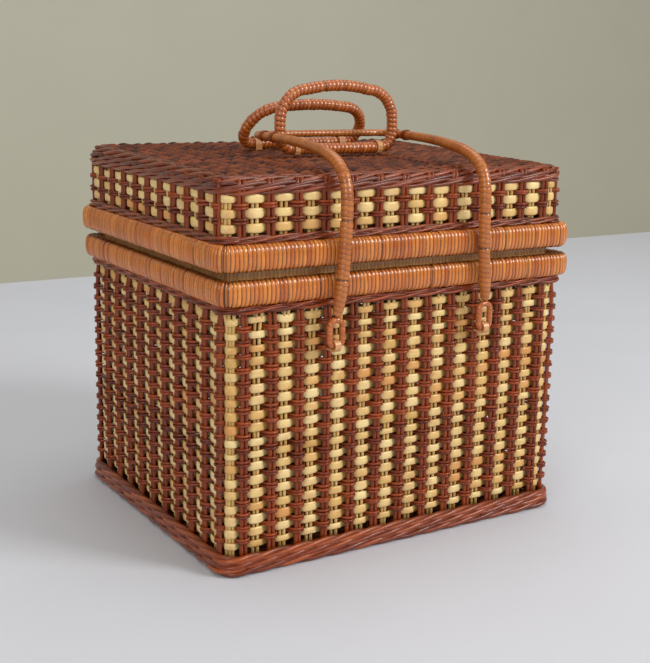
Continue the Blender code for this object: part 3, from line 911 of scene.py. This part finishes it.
# the rear grip rises from its foot at an angle from +Y, so it leans forwards
rear_angle = math.radians(126.0)
outline = ring_outline(59.5, low=0.0, high=41.0, low_radius=12.0, high_radius=28.0, crown=2.5)
path = [(HANDLE_X + across, 38.0 + up * math.cos(rear_angle), 321.6 + up * math.sin(rear_angle))
        for across, up in outline]
wrapped_bar("rear_grip", "rear_grip_wrap", "rear_grip_ring", GRIP, path, **GRIP_WRAP)

# --------------------------------------------------- CAD pieces shown as they are
for name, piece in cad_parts.items():
    if piece.hide_render:
        continue
    mesh = piece.data
    count = len(mesh.vertices)
    points = np.zeros(count * 3, np.float32)
    mesh.vertices.foreach_get("co", points)
    x, y, z = (points.reshape(-1, 3) / MM).T
    strand = np.stack([z + y, x * 0.15, np.full(count, RNG.random())], 1)
    strand_attributes(mesh, strand, np.ones(count))
    if name.startswith("hinge_loop"):
        material = RIM
    elif name.startswith(("grip_lashing", "hinge_rod")):
        material = DARK_STAKE
    else:
        material = PEEL
    mesh.materials.clear()
    mesh.materials.append(material)


# ==================================================================== stage
def plain(name, colour, rough, bump=0.0):
    """Matt surface with a faint mottle; bump is the depth of its relief."""
    shader = Shader(name)
    place = shader.place()
    mottle = shader.remap(shader.noise(place, scale=6.0, detail=4.0),
                          span=(0.3, 0.7), to=(0.0, 0.25))
    darker = srgb(*[level * 0.95 for level in colour])
    shader.surface({"Base Color": shader.mix(mottle, srgb(*colour), darker),
                    "Roughness": rough})
    if bump:
        shader.bump(shader.noise(place, scale=14.0, detail=6.0, rough=0.6),
                    strength=0.25, distance=bump)
    return shader.material


def sheet(name, corners, material):
    mesh = bpy.data.meshes.new(name)
    mesh.from_pydata(corners, [], [(0, 1, 2, 3)])
    mesh.materials.append(material)
    piece = bpy.data.objects.new(name, mesh)
    bpy.context.scene.collection.objects.link(piece)


sheet("floor", [(-6, -6, 0), (6, -6, 0), (6, 1.15, 0), (-6, 1.15, 0)],
      plain("floor_cloth", (208, 213, 225), rough=0.9, bump=0.004))
sheet("backdrop", [(-8, 2.0, -2), (8, 2.0, -2), (8, 2.0, 5), (-8, 2.0, 5)],
      plain("backdrop_paint", (186, 187, 174), rough=0.95))

# --------------------------------------------------------- light and camera
scene = bpy.context.scene
world = bpy.data.worlds.new("studio")
scene.world = world
world.use_nodes = True
background = world.node_tree.nodes["Background"]
background.inputs["Color"].default_value = srgb(246, 237, 224)
background.inputs["Strength"].default_value = 0.55


def lamp(name, place, target, size, power, colour):
    data = bpy.data.lights.new(name, "AREA")
    data.shape = "RECTANGLE"
    data.size, data.size_y = size
    data.energy = power
    data.color = colour
    light = bpy.data.objects.new(name, data)
    scene.collection.objects.link(light)
    light.location = place
    aim = Vector(target) - Vector(place)
    light.rotation_euler = aim.to_track_quat("-Z", "Y").to_euler()


lamp("key", place=(1.5, -1.9, 1.6), target=(0, 0, 0.15), size=(0.9, 0.9), power=42.0,
     colour=(1.0, 0.97, 0.92))
lamp("fill", place=(-1.9, -1.6, 1.1), target=(0, 0, 0.15), size=(1.3, 1.0), power=17.0,
     colour=(1.0, 0.95, 0.88))
lamp("top", place=(0.2, 0.3, 2.4), target=(0, 0, 0.1), size=(1.8, 1.8), power=16.0,
     colour=(1.0, 1.0, 1.0))


def add_camera(target, distance, azimuth, elevation, roll, lens):
    """Camera aimed at target; azimuth turns from -Y towards +X, and angles are in degrees."""
    azimuth, elevation, roll = (math.radians(v) for v in (azimuth, elevation, roll))
    away = Vector((math.sin(azimuth) * math.cos(elevation),
                   -math.cos(azimuth) * math.cos(elevation), math.sin(elevation)))
    level_right = (-away).cross(Vector((0, 0, 1))).normalized()
    level_up = level_right.cross(-away)
    right = math.cos(roll) * level_right + math.sin(roll) * level_up
    up = -math.sin(roll) * level_right + math.cos(roll) * level_up
    data = bpy.data.cameras.new("camera")
    data.lens = lens
    data.sensor_width = 36.0
    data.clip_start = 0.01
    data.clip_end = 50.0
    camera = bpy.data.objects.new("camera", data)
    scene.collection.objects.link(camera)
    turn = Matrix((right, up, away)).transposed().to_4x4()
    camera.matrix_world = Matrix.Translation(Vector(target) + away * distance) @ turn
    scene.camera = camera


add_camera(target=(0.00579, -0.003, 0.15255), distance=1.081, azimuth=-32.04,
           elevation=12.83, roll=1.19, lens=63.96)
scene.view_settings.view_transform = "Standard"
scene.view_settings.exposure = 0.0

bpy.context.view_layer.update()
